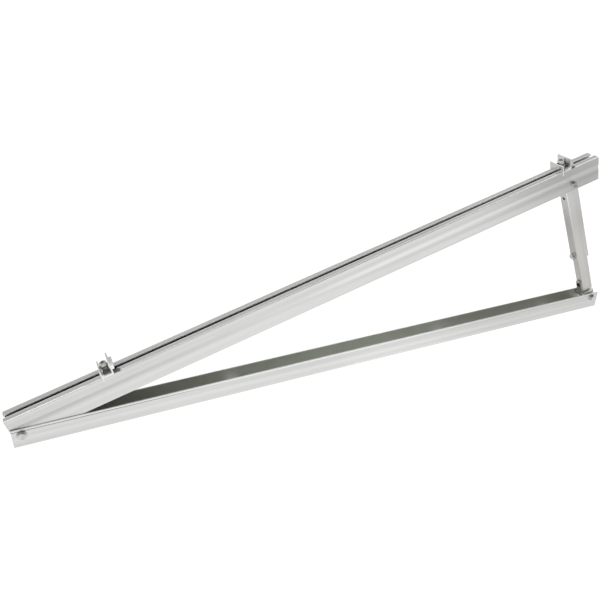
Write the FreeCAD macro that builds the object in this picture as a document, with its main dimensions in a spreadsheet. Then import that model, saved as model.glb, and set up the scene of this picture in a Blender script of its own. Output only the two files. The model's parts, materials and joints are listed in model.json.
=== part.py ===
import FreeCAD, Part
import math
import os

import Sketcher

# Tilt frame for a solar panel, in millimetres and degrees.
# +X runs along the base channel from the hinge to the strut, +Y points to the nut side and +Z is up.
# The origin is the middle of the base channel's underside.

SIZES = {
    # Base channel: a U that stands open upwards
    "base_length": 1342.0,
    "base_height": 37.5,
    "base_wall": 1.8,
    "base_floor": 2.5,
    "base_bead_height": 3.6,
    "base_bead_out": 0.5,
    "base_corner": 1.2,
    "base_side_clearance": 0.3,
    "fixing_slot_width": 9.0,
    "fixing_slot_length": 25.0,
    "fixing_spacing_outer": 1100.0,
    "fixing_spacing_inner": 500.0,
    # Top rail: T-slot above, open trough below
    "rail_length": 1300.0,
    "rail_width": 35.0,
    "rail_height": 52.5,
    "rail_wall": 2.0,
    "rail_web": 2.5,
    "rail_lip": 3.0,
    "rail_edge_round": 2.2,
    "rail_foot_in": 2.2,
    "rail_foot_height": 3.0,
    "rail_groove_depth": 0.8,
    "rail_groove_height": 8.0,
    "rail_groove_slope": 1.6,
    "rail_groove_up": 25.0,
    "slot_width": 9.0,
    "slot_room_width": 20.0,
    "slot_room_depth": 10.5,
    "slot_room_wall": 1.8,
    # Pivots and the tilt of the rail
    "tilt": 14.5,
    "pivot_height": 25.3,
    "hinge_inset": 17.0,
    "hinge_along_rail": 15.35,
    "hinge_up_rail": 14.67,
    "foot_inset": 15.0,
    "strut_pin_inset": 68.6,
    "strut_pin_up": 13.5,
    # Strut: a sleeve with a leg sliding in it, both rectangular tubes
    "sleeve_depth": 32.0,
    "sleeve_width": 23.0,
    "sleeve_wall": 2.2,
    "sleeve_above_pin": 12.0,
    "sleeve_below_pin": 211.0,
    "sleeve_round": 1.6,
    "open_pivot_clearance": 0.8,
    "spare_hole": 7.0,
    "spare_hole_below_pin": 34.0,
    "leg_clearance": 0.3,
    "leg_wall": 2.0,
    "leg_start": 22.5,
    "leg_in_sleeve": 117.0,
    "leg_round": 1.4,
    "adjuster_above_end": 13.0,
    "adjuster_travel": 60.0,
    "adjuster_slot_clearance": 0.4,
    # Foot bracket: folded from one sheet
    "bracket_sheet": 3.0,
    "bracket_base_start": 14.0,
    "bracket_width": 24.0,
    "bracket_tab_width": 17.0,
    "bracket_tab_end": 54.5,
    "bracket_screw_height": 42.5,
    "bracket_ear_round": 10.5,
    "bracket_bend": 1.5,
    # Pivot bolts: three alike
    "pivot_bolt_dia": 8.0,
    "pivot_head_flats": 13.0,
    "pivot_head_height": 5.3,
    "pivot_nut_height": 6.8,
    "pivot_washer_dia": 16.0,
    "pivot_washer_thickness": 1.6,
    "pivot_fit": 0.08,
    "thread_beyond_nut": 3.0,
    "bolt_end_chamfer": 0.5,
    "crown_angle": 30.0,
    "bush_dia": 12.0,
    "spacer_dia": 16.0,
    "spacer_play": 0.2,
    # Adjusting bolt across the strut
    "adjuster_dia": 8.0,
    "adjuster_head_flats": 13.0,
    "adjuster_head_height": 5.3,
    "adjuster_nut_height": 6.8,
    "adjuster_washer_dia": 16.0,
    "adjuster_washer_thickness": 1.6,
    # Bracket screw
    "small_screw_dia": 5.0,
    "small_head_dia": 9.0,
    "small_head_height": 2.6,
    "small_key_flats": 3.0,
    "small_key_depth": 1.6,
    "small_screw_length": 8.0,
    # Module clamps, held by a screw in a slot nut
    "lower_clamp_along": 191.4,
    "upper_clamp_from_end": 85.6,
    "clamp_gap": 17.7,
    "clamp_wall": 2.5,
    "clamp_floor": 3.0,
    "clamp_low_wall_height": 15.0,
    "clamp_tall_wall_height": 24.5,
    "clamp_lip_height": 13.0,
    "clamp_lip_out": 5.0,
    "clamp_lip_thickness": 2.5,
    "clamp_skirt_depth": 7.0,
    "clamp_skirt_side": 2.0,
    "clamp_side_clearance": 0.3,
    "clamp_round": 0.8,
    "screw_dia": 8.0,
    "screw_head_dia": 13.0,
    "screw_head_height": 8.0,
    "screw_head_chamfer": 0.5,
    "screw_key_flats": 6.0,
    "screw_key_depth": 4.0,
    "screw_length": 25.0,
    "screw_hole_fit": 0.4,
    "screw_washer_dia": 17.0,
    "screw_washer_thickness": 1.4,
    "spring_height": 8.2,
    "spring_wire": 1.4,
    "spring_mean_dia": 11.0,
    "spring_turns": 3.5,
    "slot_nut_length": 22.0,
    "slot_nut_side_play": 1.5,
    "slot_nut_thickness": 5.5,
    "slot_nut_neck": 2.4,
    "slot_nut_neck_play": 0.25,
    "thread_gap": 0.03,
    "clip_thickness": 1.5,
    "clip_width": 3.5,
    "clip_gap": 2.1,
    "clip_drop": 6.0,
    "clip_pad_length": 15.0,
    "clip_pad_start": 9.0,
    "clip_pad_end": 17.0,
}

DOC = FreeCAD.newDocument("TiltFrame")
ACROSS = FreeCAD.Vector(0, -1, 0)
ALONG_Y = FreeCAD.Rotation(FreeCAD.Vector(1, 0, 0), 90)
ROUND = "round"


class Dim:
    """A size: its number now and the expression in the sheet that drives it."""

    def __init__(self, number, text):
        self.number = number
        self.text = text

    def join(self, other, sign, number):
        return Dim(number, "(%s %s %s)" % (self.text, sign, as_dim(other).text))

    def __add__(self, other):
        return self.join(other, "+", self.number + as_dim(other).number)

    def __sub__(self, other):
        return self.join(other, "-", self.number - as_dim(other).number)

    def __mul__(self, other):
        return self.join(other, "*", self.number * as_dim(other).number)

    def __truediv__(self, other):
        return self.join(other, "/", self.number / as_dim(other).number)

    def __neg__(self):
        return Dim(-self.number, "(0 - %s)" % self.text)

    def sin(self):
        return Dim(math.sin(math.radians(self.number)), "sin(%s)" % self.text)

    def cos(self):
        return Dim(math.cos(math.radians(self.number)), "cos(%s)" % self.text)


def as_dim(value):
    """A plain number becomes a size that nothing drives."""
    if isinstance(value, Dim):
        return value
    return Dim(float(value), repr(float(value)))


def angle_of(rise, run):
    """The angle in degrees whose tangent is rise over run."""
    number = math.degrees(math.atan2(rise.number, run.number))
    return Dim(number, "(atan2(%s; %s) / 1 deg)" % (rise.text, run.text))


def length_of(a, b):
    """The long side of a right triangle with the short sides a and b."""
    number = math.hypot(a.number, b.number)
    return Dim(number, "sqrt(%s * %s + %s * %s)" % (a.text, a.text, b.text, b.text))


class Sizes:
    """The sheet of driving dimensions, each read as a Dim."""

    def __init__(self):
        sheet = DOC.addObject("Spreadsheet::Sheet", "Sizes")
        for row, (name, value) in enumerate(SIZES.items(), start=1):
            sheet.set("A%d" % row, name)
            sheet.set("B%d" % row, str(value))
            sheet.setAlias("B%d" % row, name)
        DOC.recompute()
        for name in SIZES:
            setattr(self, name, Dim(float(sheet.get(name)), "Sizes." + name))


S = Sizes()
HALF_BASE = S.base_length / 2
BASE_ROOM = S.rail_width / 2 + S.base_side_clearance
BASE_SIDE = BASE_ROOM + S.base_wall
BASE_FACE = BASE_SIDE + S.base_bead_out
RAIL_ROOM = S.rail_width / 2 - S.rail_wall
SLOT_FLOOR = S.rail_height - S.rail_lip - S.slot_room_depth
PIVOT_RADIUS = S.pivot_bolt_dia / 2
PIVOT_HOLE = PIVOT_RADIUS + S.pivot_fit


class Frame:
    """A frame turned about the Y direction, with points given along and up in it."""

    def __init__(self, x, z, turn):
        self.x = x
        self.z = z
        self.turn = turn

    def point(self, along, up):
        x = self.x + along * self.turn.cos() - up * self.turn.sin()
        z = self.z + along * self.turn.sin() + up * self.turn.cos()
        return x, z


HINGE_X = -HALF_BASE + S.hinge_inset
FOOT_X = HALF_BASE - S.foot_inset
AT_HINGE = Frame(HINGE_X, S.pivot_height, S.tilt)
RAIL = Frame(*AT_HINGE.point(-S.hinge_along_rail, -S.hinge_up_rail), S.tilt)
PIN_X, PIN_Z = RAIL.point(S.rail_length - S.strut_pin_inset, S.strut_pin_up)
LEAN = angle_of(FOOT_X - PIN_X, PIN_Z - S.pivot_height)
STRUT_LENGTH = length_of(FOOT_X - PIN_X, PIN_Z - S.pivot_height)
STRUT = Frame(FOOT_X, S.pivot_height, LEAN)
SLEEVE_END = STRUT_LENGTH - S.sleeve_below_pin
ADJUSTER_HEIGHT = SLEEVE_END + S.adjuster_above_end
LEG_DEPTH = S.sleeve_depth - (S.sleeve_wall + S.leg_clearance) * 2
LEG_WIDTH = S.sleeve_width - (S.sleeve_wall + S.leg_clearance) * 2


def bind(thing, prop, dim):
    """Drive a property from the sheet."""
    thing.setExpression(prop, as_dim(dim).text)


def new_body(label):
    body = DOC.addObject("PartDesign::Body", label)
    body.Label = label
    return body


def new_sketch(body, role, offset=0.0):
    """A sketch on one of the body's own origin planes, moved along the plane's normal."""
    sketch = body.newObject("Sketcher::SketchObject", "Sketch")
    plane = [item for item in body.Origin.OriginFeatures if item.Role == role][0]
    sketch.AttachmentSupport = [(plane, "")]
    sketch.MapMode = "FlatFace"
    bind(sketch, "AttachmentOffset.Base.z", offset)
    return sketch


def constrain(sketch, kind, where, dim):
    """Add a driving dimension to a sketch and bind it to the sheet."""
    index = sketch.addConstraint(Sketcher.Constraint(kind, *where, as_dim(dim).number))
    bind(sketch, "Constraints[%d]" % index, dim)


def fix_coordinate(sketch, kind, where, dim):
    """Hold one coordinate of a sketch point, on the axis itself where it is a plain zero."""
    if isinstance(dim, Dim):
        constrain(sketch, kind, where, dim)
    else:
        axis = {"DistanceX": -2, "DistanceY": -1}[kind]
        sketch.addConstraint(Sketcher.Constraint("PointOnObject", *where, axis))


def fix_point(sketch, where, x, y):
    """Hold a sketch point at x, y."""
    fix_coordinate(sketch, "DistanceX", where, x)
    fix_coordinate(sketch, "DistanceY", where, y)


def add_outline(sketch, points):
    """A closed outline. A point marked ROUND is left by an anticlockwise half circle."""
    first = sketch.GeometryCount
    count = len(points)
    spots = [FreeCAD.Vector(as_dim(p[0]).number, as_dim(p[1]).number, 0) for p in points]
    for index, point in enumerate(points):
        start = spots[index]
        end = spots[(index + 1) % count]
        if ROUND in point:
            sketch.addGeometry(half_circle(start, end))
        else:
            sketch.addGeometry(Part.LineSegment(start, end))
    for index, point in enumerate(points):
        edge = first + index
        follower = first + (index + 1) % count
        sketch.addConstraint(Sketcher.Constraint("Coincident", edge, 2, follower, 1))
        fix_point(sketch, (edge, 1), point[0], point[1])
        if ROUND in point:
            upright = abs(spots[index].x - spots[(index + 1) % count].x) < 1e-9
            kind = "DistanceX" if upright else "DistanceY"
            fix_coordinate(sketch, kind, (edge, 3), point[0] if upright else point[1])


def half_circle(start, end):
    """The half circle that runs anticlockwise from start to end."""
    centre = (start + end) / 2
    radius = (end - start).Length / 2
    first = math.atan2(start.y - centre.y, start.x - centre.x)
    circle = Part.Circle(centre, FreeCAD.Vector(0, 0, 1), radius)
    return Part.ArcOfCircle(circle, first, first + math.pi)


def add_circle(sketch, x, y, radius):
    spot = FreeCAD.Vector(as_dim(x).number, as_dim(y).number, 0)
    index = sketch.addGeometry(Part.Circle(spot, FreeCAD.Vector(0, 0, 1), radius.number))
    fix_point(sketch, (index, 3), x, y)
    constrain(sketch, "Radius", (index,), radius)


def mirrored(half):
    """An outline from its right half, which runs from the middle line round to it again."""
    return half + [(-x, y) for x, y in reversed(half)]


def rectangle(half_x, low, high):
    return [(half_x, low), (half_x, high), (-half_x, high), (-half_x, low)]


def hexagon(flats):
    """A hexagon about the origin, with two corners on the X direction."""
    corner = flats / 3 ** 0.5
    side = flats / 2
    half = corner / 2
    return [(corner, 0), (half, side), (-half, side), (-corner, 0), (-half, -side), (half, -side)]


def pad(body, sketch, length, symmetric=False, reverse=False):
    feature = body.newObject("PartDesign::Pad", "Pad")
    feature.Profile = sketch
    bind(feature, "Length", length)
    feature.SideType = "Symmetric" if symmetric else "One side"
    feature.Reversed = reverse
    return finish_feature(body, feature, True)


def cut(body, sketch, length=None, symmetric=False, reverse=False):
    """A pocket, through everything where no length is given."""
    feature = body.newObject("PartDesign::Pocket", "Pocket")
    feature.Profile = sketch
    if length is None:
        feature.Type = "ThroughAll"
    else:
        bind(feature, "Length", length)
    feature.SideType = "Symmetric" if symmetric else "One side"
    feature.Reversed = reverse
    return finish_feature(body, feature, False)


def revolve_cut(body, sketch):
    feature = body.newObject("PartDesign::Groove", "Groove")
    feature.Profile = sketch
    feature.ReferenceAxis = (sketch, ["V_Axis"])
    feature.Angle = 360
    return finish_feature(body, feature, False)


def finish_feature(body, feature, adds):
    """Work out a feature and make sure that it added or removed material."""
    before = body.Shape.Volume if not body.Shape.isNull() else 0.0
    DOC.recompute()
    change = body.Shape.Volume - before
    if (change > 0) != adds or abs(change) < 1e-6:
        raise RuntimeError("%s of %s changed the volume by %f" % (feature.Name, body.Label, change))
    return feature


def soften(body, kind, prop, size, wanted):
    """Round or chamfer every edge of the body that the test accepts."""
    DOC.recompute()
    base = body.Tip
    edges = ["Edge%d" % number for number, edge in enumerate(base.Shape.Edges, start=1)
             if wanted(edge)]
    feature = body.newObject("PartDesign::" + kind, kind)
    feature.Base = (base, edges)
    bind(feature, prop, size)
    finish_feature(body, feature, False)


def fillet(body, radius, wanted):
    soften(body, "Fillet", "Radius", radius, wanted)


def chamfer(body, size, wanted):
    soften(body, "Chamfer", "Size", size, wanted)


def runs_along(edge, direction):
    """Whether an edge is straight and lies along a direction."""
    if not isinstance(edge.Curve, (Part.Line, Part.LineSegment)):
        return False
    return abs(abs(edge.tangentAt(edge.FirstParameter) * direction) - 1) < 1e-6


def near(value, dim):
    return abs(value - as_dim(dim).number) < 1e-4


def place(thing, x, y, z, turn=None, rotation=None):
    """Put a piece at x, y, z, turned about the Y direction or by a fixed rotation."""
    if rotation is not None:
        thing.Placement = FreeCAD.Placement(FreeCAD.Vector(), rotation)
    if turn is not None:
        thing.Placement = FreeCAD.Placement(FreeCAD.Vector(), FreeCAD.Rotation(ACROSS, turn.number))
        bind(thing, "Placement.Rotation.Angle", turn)
    for axis, dim in zip("xyz", (x, y, z)):
        bind(thing, "Placement.Base." + axis, dim)


def place_on_strut(thing):
    place(thing, STRUT.x, 0.0, STRUT.z, turn=STRUT.turn)


def place_on_rail(thing, along, up):
    x, z = RAIL.point(along, up)
    place(thing, x, 0.0, z, turn=RAIL.turn)


def tube(label, outer, inner, length):
    """A washer, spacer or bush that stands on the XY plane."""
    body = new_body(label)
    sketch = new_sketch(body, "XY_Plane")
    add_circle(sketch, 0, 0, outer)
    add_circle(sketch, 0, 0, inner)
    pad(body, sketch, length)
    return body


def group(label, members):
    """Like pieces that share a node."""
    thing = DOC.addObject("Part::Compound", label)
    thing.Label = label
    thing.Links = members
    return thing


def crown(body, flats, height):
    """Turn the corners off the top of a hexagon that stands on the XY plane."""
    face = flats / 2
    out = flats
    drop = (out - face) * S.crown_angle.sin() / S.crown_angle.cos()
    sketch = new_sketch(body, "XZ_Plane")
    add_outline(sketch, [(face, height), (out, height - drop), (out, height + 1), (face, height + 1)])
    revolve_cut(body, sketch)


def hex_bolt(label, radius, flats, head_height, length):
    """A bolt whose head stands on the XY plane and whose shank hangs below it."""
    body = new_body(label)
    head = new_sketch(body, "XY_Plane")
    add_outline(head, hexagon(flats))
    pad(body, head, head_height)
    crown(body, flats, head_height)
    shank = new_sketch(body, "XY_Plane")
    add_circle(shank, 0, 0, radius)
    pad(body, shank, length, reverse=True)
    chamfer(body, S.bolt_end_chamfer, lambda edge: near(edge.CenterOfMass.z, -length))
    return body


def hex_nut(label, bore, flats, height):
    body = new_body(label)
    sketch = new_sketch(body, "XY_Plane")
    add_outline(sketch, hexagon(flats))
    add_circle(sketch, 0, 0, bore)
    pad(body, sketch, height)
    crown(body, flats, height)
    return body


def socket_screw(label, radius, head_radius, head_height, flats, key_depth, length):
    """A screw with a round head and a hexagon socket, head on the XY plane."""
    body = new_body(label)
    head = new_sketch(body, "XY_Plane")
    add_circle(head, 0, 0, head_radius)
    pad(body, head, head_height)
    chamfer(body, S.screw_head_chamfer, lambda edge: near(edge.CenterOfMass.z, head_height))
    key = new_sketch(body, "XY_Plane", head_height)
    add_outline(key, hexagon(flats))
    cut(body, key, key_depth)
    shank = new_sketch(body, "XY_Plane")
    add_circle(shank, 0, 0, radius)
    pad(body, shank, length, reverse=True)
    chamfer(body, S.bolt_end_chamfer, lambda edge: near(edge.CenterOfMass.z, -length))
    return body


def base_channel():
    """The U that lies on the roof, with a bead along the top of each wall."""
    body = new_body("base_channel")
    section = new_sketch(body, "YZ_Plane")
    bead_foot = S.base_height - S.base_bead_height
    half = [
        (BASE_SIDE, 0),
        (BASE_SIDE, bead_foot - S.base_bead_out),
        (BASE_FACE, bead_foot),
        (BASE_FACE, S.base_height),
        (BASE_ROOM, S.base_height),
        (BASE_ROOM, S.base_floor),
    ]
    add_outline(section, mirrored(half))
    pad(body, section, S.base_length, symmetric=True)
    along = FreeCAD.Vector(1, 0, 0)
    fillet(body, S.base_corner, lambda edge: runs_along(edge, along) and near(edge.CenterOfMass.z, 0))
    fillet(body, S.base_bead_out, lambda edge: runs_along(edge, along)
           and near(abs(edge.CenterOfMass.y), BASE_FACE) and near(edge.CenterOfMass.z, S.base_height))
    holes = new_sketch(body, "XZ_Plane")
    for x in (HINGE_X, FOOT_X):
        add_circle(holes, x, S.pivot_height, PIVOT_HOLE)
    cut(body, holes, symmetric=True)
    slots = new_sketch(body, "XY_Plane")
    for spacing in (S.fixing_spacing_outer, S.fixing_spacing_inner):
        for side in (-1, 1):
            add_fixing_slot(slots, spacing / 2 * side)
    cut(body, slots, S.base_floor, reverse=True)
    return body


def add_fixing_slot(sketch, middle):
    """A slot with round ends along the base channel."""
    radius = S.fixing_slot_width / 2
    reach = S.fixing_slot_length / 2 - radius
    add_outline(sketch, [
        (middle - reach, -radius),
        (middle + reach, -radius, ROUND),
        (middle + reach, radius),
        (middle - reach, radius, ROUND),
    ])


def top_rail():
    """The rail that carries the module, with a hole for each bolt through its walls."""
    body = new_body("top_rail")
    section = new_sketch(body, "YZ_Plane")
    side = S.rail_width / 2
    dent = side - S.rail_groove_depth
    rib = RAIL_ROOM - S.rail_groove_depth
    low = S.rail_groove_up
    high = S.rail_groove_up + S.rail_groove_height
    foot = RAIL_ROOM - S.rail_foot_in
    slot = S.slot_width / 2
    room = S.slot_room_width / 2
    lip_foot = S.rail_height - S.rail_lip
    half = [
        (room, SLOT_FLOOR),
        (room, lip_foot),
        (slot, lip_foot),
        (slot, S.rail_height),
        (side, S.rail_height),
        (side, high),
        (dent, high - S.rail_groove_slope),
        (dent, low + S.rail_groove_slope),
        (side, low),
        (side, 0),
        (foot, 0),
        (foot, S.rail_foot_height),
        (RAIL_ROOM, S.rail_foot_height),
        (RAIL_ROOM, low),
        (rib, low + S.rail_groove_slope),
        (rib, high - S.rail_groove_slope),
        (RAIL_ROOM, high),
        (RAIL_ROOM, SLOT_FLOOR - S.rail_web),
    ]
    add_outline(section, mirrored(half))
    chamber = room + S.slot_room_wall
    for sign in (1, -1):
        add_outline(section, [
            (chamber * sign, SLOT_FLOOR),
            (RAIL_ROOM * sign, SLOT_FLOOR),
            (RAIL_ROOM * sign, lip_foot),
            (chamber * sign, lip_foot),
        ])
    pad(body, section, S.rail_length)
    along = FreeCAD.Vector(1, 0, 0)
    fillet(body, S.rail_edge_round, lambda edge: runs_along(edge, along)
           and near(abs(edge.CenterOfMass.y), side) and near(edge.CenterOfMass.z, S.rail_height))
    holes = new_sketch(body, "XZ_Plane")
    add_circle(holes, S.hinge_along_rail, S.hinge_up_rail, PIVOT_HOLE)
    add_circle(holes, S.rail_length - S.strut_pin_inset, S.strut_pin_up, PIVOT_HOLE)
    cut(body, holes, symmetric=True)
    place(body, RAIL.x, 0.0, RAIL.z, turn=RAIL.turn)
    return body


def rectangular_tube(label, depth, width, wall, start, length, corner):
    """A tube along the strut, with its outer corners rounded."""
    body = new_body(label)
    section = new_sketch(body, "XY_Plane", start)
    add_outline(section, rectangle(depth / 2, -width / 2, width / 2))
    add_outline(section, rectangle(depth / 2 - wall, wall - width / 2, width / 2 - wall))
    pad(body, section, length)
    upward = FreeCAD.Vector(0, 0, 1)
    fillet(body, corner, lambda edge: runs_along(edge, upward)
           and near(abs(edge.CenterOfMass.x), depth / 2))
    return body


def strut_sleeve():
    """The outer tube, hung on the strut bolt with play because this pivot closes the triangle."""
    length = S.sleeve_below_pin + S.sleeve_above_pin
    body = rectangular_tube("strut_sleeve", S.sleeve_depth, S.sleeve_width, S.sleeve_wall,
                            SLEEVE_END, length, S.sleeve_round)
    pin = new_sketch(body, "XZ_Plane")
    add_circle(pin, 0, STRUT_LENGTH, PIVOT_RADIUS + S.open_pivot_clearance)
    cut(body, pin, symmetric=True)
    adjuster = new_sketch(body, "YZ_Plane")
    add_circle(adjuster, 0, ADJUSTER_HEIGHT, S.adjuster_dia / 2 + S.pivot_fit)
    cut(body, adjuster)
    spare = new_sketch(body, "YZ_Plane")
    add_circle(spare, 0, STRUT_LENGTH - S.spare_hole_below_pin, S.spare_hole / 2)
    cut(body, spare)
    place_on_strut(body)
    return body


def strut_leg():
    """The inner tube, with a long slot for the adjusting bolt in the wall on the hinge's side."""
    body = rectangular_tube("strut_leg", LEG_DEPTH, LEG_WIDTH, S.leg_wall,
                            S.leg_start, SLEEVE_END + S.leg_in_sleeve - S.leg_start, S.leg_round)
    radius = S.adjuster_dia / 2 + S.adjuster_slot_clearance
    slot = new_sketch(body, "YZ_Plane")
    top = ADJUSTER_HEIGHT + S.adjuster_travel
    add_outline(slot, [
        (radius, ADJUSTER_HEIGHT),
        (radius, top, ROUND),
        (-radius, top),
        (-radius, ADJUSTER_HEIGHT, ROUND),
    ])
    cut(body, slot)
    screw = new_sketch(body, "YZ_Plane")
    add_circle(screw, 0, S.bracket_screw_height, S.small_screw_dia / 2 + S.thread_gap)
    cut(body, screw)
    place_on_strut(body)
    return body


def foot_bracket():
    """A base across the strut, a tab up the leg's face and two ears down to the foot bolt."""
    body = new_body("foot_bracket")
    left = -LEG_DEPTH / 2 - S.bracket_sheet
    right = LEG_DEPTH / 2
    half_width = S.bracket_width / 2
    base = new_sketch(body, "XY_Plane", S.bracket_base_start)
    add_outline(base, [(left, -half_width), (right, -half_width), (right, half_width), (left, half_width)])
    pad(body, base, S.bracket_sheet)
    tab = new_sketch(body, "YZ_Plane", left)
    radius = S.bracket_tab_width / 2
    shoulder = S.bracket_tab_end - radius
    add_outline(tab, [
        (-radius, S.bracket_base_start),
        (radius, S.bracket_base_start),
        (radius, shoulder, ROUND),
        (-radius, shoulder),
    ])
    pad(body, tab, S.bracket_sheet)
    upper = S.bracket_base_start + S.bracket_sheet
    round_end = S.bracket_ear_round
    for sign in (1, -1):
        ear = new_sketch(body, "XZ_Plane", half_width * sign)
        add_outline(ear, [
            (left + S.bracket_sheet, upper),
            (left + S.bracket_sheet, S.bracket_base_start),
            (-round_end, 0, ROUND),
            (round_end, 0),
            (right, S.bracket_base_start),
            (right, upper),
        ])
        pad(body, ear, S.bracket_sheet, reverse=sign > 0)
    pin = new_sketch(body, "XZ_Plane")
    add_circle(pin, 0, 0, PIVOT_HOLE)
    cut(body, pin, symmetric=True)
    screw = new_sketch(body, "YZ_Plane")
    add_circle(screw, 0, S.bracket_screw_height, S.small_screw_dia / 2 + S.pivot_fit)
    cut(body, screw)
    across = FreeCAD.Vector(0, 1, 0)
    fillet(body, S.bracket_bend, lambda edge: runs_along(edge, across)
           and near(edge.CenterOfMass.x, left) and near(edge.CenterOfMass.z, S.bracket_base_start))
    place_on_strut(body)
    return body


def bracket_screw():
    """The screw through the tab into the leg's face."""
    body = socket_screw("bracket_screw", S.small_screw_dia / 2, S.small_head_dia / 2,
                        S.small_head_height, S.small_key_flats, S.small_key_depth,
                        S.small_screw_length)
    x, z = STRUT.point(-LEG_DEPTH / 2 - S.bracket_sheet, S.bracket_screw_height)
    place(body, x, 0.0, z, turn=LEAN + 90)
    return body


def pivot_bolt(name, x, z, side):
    """A bolt along Y between two walls, its head near and its nut far, with a washer under each."""
    seat = side + S.pivot_washer_thickness
    reach = seat * 2 + S.pivot_nut_height + S.thread_beyond_nut
    bolt = hex_bolt(name + "_bolt", PIVOT_RADIUS, S.pivot_head_flats, S.pivot_head_height, reach)
    place(bolt, x, -seat, z, rotation=ALONG_Y)
    rings = []
    for label, y in (("near", -side), ("far", seat)):
        ring = tube("%s_washer_%s" % (name, label), S.pivot_washer_dia / 2, PIVOT_HOLE,
                    S.pivot_washer_thickness)
        place(ring, x, y, z, rotation=ALONG_Y)
        rings.append(ring)
    nut = hex_nut(name + "_nut", PIVOT_RADIUS + S.thread_gap, S.pivot_head_flats, S.pivot_nut_height)
    place(nut, x, seat, z, rotation=FreeCAD.Rotation(FreeCAD.Vector(1, 0, 0), -90))
    return [bolt, group(name + "_washer", rings), nut]


def spacers(name, x, z, inner, outer):
    """Two spacers on a bolt, one each side, between two widths."""
    pieces = []
    length = outer - inner - S.spacer_play
    for label, y in (("near", -inner - S.spacer_play), ("far", outer)):
        ring = tube("%s_%s" % (name, label), S.spacer_dia / 2, PIVOT_HOLE, length)
        place(ring, x, y, z, rotation=ALONG_Y)
        pieces.append(ring)
    return group(name, pieces)


def bush(name, x, z, half):
    """A tube on a bolt between two walls."""
    length = (half - S.spacer_play / 2) * 2
    body = tube(name, S.bush_dia / 2, PIVOT_HOLE, length)
    place(body, x, half - S.spacer_play / 2, z, rotation=ALONG_Y)
    return body


def hinge_set():
    pieces = pivot_bolt("hinge", HINGE_X, S.pivot_height, BASE_SIDE)
    pieces.append(bush("hinge_bush", HINGE_X, S.pivot_height, RAIL_ROOM))
    return pieces


def strut_pin_set():
    pieces = pivot_bolt("strut", PIN_X, PIN_Z, S.rail_width / 2)
    pieces.append(spacers("strut_spacers", PIN_X, PIN_Z, S.sleeve_width / 2, RAIL_ROOM))
    return pieces


def foot_set():
    pieces = pivot_bolt("foot", FOOT_X, S.pivot_height, BASE_SIDE)
    pieces.append(spacers("foot_spacers", FOOT_X, S.pivot_height, S.bracket_width / 2, BASE_ROOM))
    inner = S.bracket_width / 2 - S.bracket_sheet
    pieces.append(bush("foot_bush", FOOT_X, S.pivot_height, inner))
    return pieces


def adjuster_set():
    """The bolt that holds the strut's length: it pulls a nut in the leg against the leg's slotted wall."""
    face = S.sleeve_depth / 2
    washer = S.adjuster_washer_thickness
    radius = S.adjuster_dia / 2
    nut_seat = LEG_DEPTH / 2 - S.leg_wall
    reach = face + washer - nut_seat + S.adjuster_nut_height + S.thread_beyond_nut
    bolt = hex_bolt("adjuster_bolt", radius, S.adjuster_head_flats, S.adjuster_head_height, reach)
    x, z = STRUT.point(-face - washer, ADJUSTER_HEIGHT)
    place(bolt, x, 0.0, z, turn=LEAN + 90)
    nut = hex_nut("adjuster_nut", radius + S.thread_gap, S.adjuster_head_flats, S.adjuster_nut_height)
    x, z = STRUT.point(-nut_seat, ADJUSTER_HEIGHT)
    place(nut, x, 0.0, z, turn=LEAN - 90)
    ring = tube("adjuster_washers", S.adjuster_washer_dia / 2, radius + S.pivot_fit, washer)
    x, z = STRUT.point(-face, ADJUSTER_HEIGHT)
    place(ring, x, 0.0, z, turn=LEAN + 90)
    return [bolt, nut, ring]


def clamp_body(name, along):
    """A U across the rail: a low wall with a skirt each side of the rail, and a tall wall with a lip."""
    body = new_body(name + "_clamp")
    inner = S.clamp_gap / 2
    outer = inner + S.clamp_wall
    lip = outer + S.clamp_lip_out
    length = S.rail_width + (S.clamp_side_clearance + S.clamp_skirt_side) * 2
    section = new_sketch(body, "XZ_Plane")
    add_outline(section, [
        (-outer, -S.clamp_skirt_depth),
        (-inner, -S.clamp_skirt_depth),
        (-inner, 0),
        (outer, 0),
        (outer, S.clamp_lip_height - S.clamp_lip_thickness),
        (lip, S.clamp_lip_height - S.clamp_lip_thickness),
        (lip, S.clamp_lip_height),
        (outer, S.clamp_lip_height),
        (outer, S.clamp_tall_wall_height),
        (inner, S.clamp_tall_wall_height),
        (inner, S.clamp_floor),
        (-inner, S.clamp_floor),
        (-inner, S.clamp_low_wall_height),
        (-outer, S.clamp_low_wall_height),
    ])
    pad(body, section, length, symmetric=True)
    across = FreeCAD.Vector(0, 1, 0)
    fillet(body, S.clamp_round, lambda edge: runs_along(edge, across)
           and (near(edge.CenterOfMass.z, S.clamp_tall_wall_height)
                or near(edge.CenterOfMass.z, S.clamp_low_wall_height)
                or near(edge.CenterOfMass.x, lip)))
    over_rail = new_sketch(body, "YZ_Plane")
    half = S.rail_width / 2 + S.clamp_side_clearance
    add_outline(over_rail, [(half, -S.clamp_skirt_depth), (half, 0), (-half, 0), (-half, -S.clamp_skirt_depth)])
    cut(body, over_rail, symmetric=True)
    hole = new_sketch(body, "XY_Plane")
    add_circle(hole, 0, 0, S.screw_dia / 2 + S.screw_hole_fit)
    cut(body, hole, S.clamp_floor, reverse=True)
    place_on_rail(body, along, S.rail_height)
    return body


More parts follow.
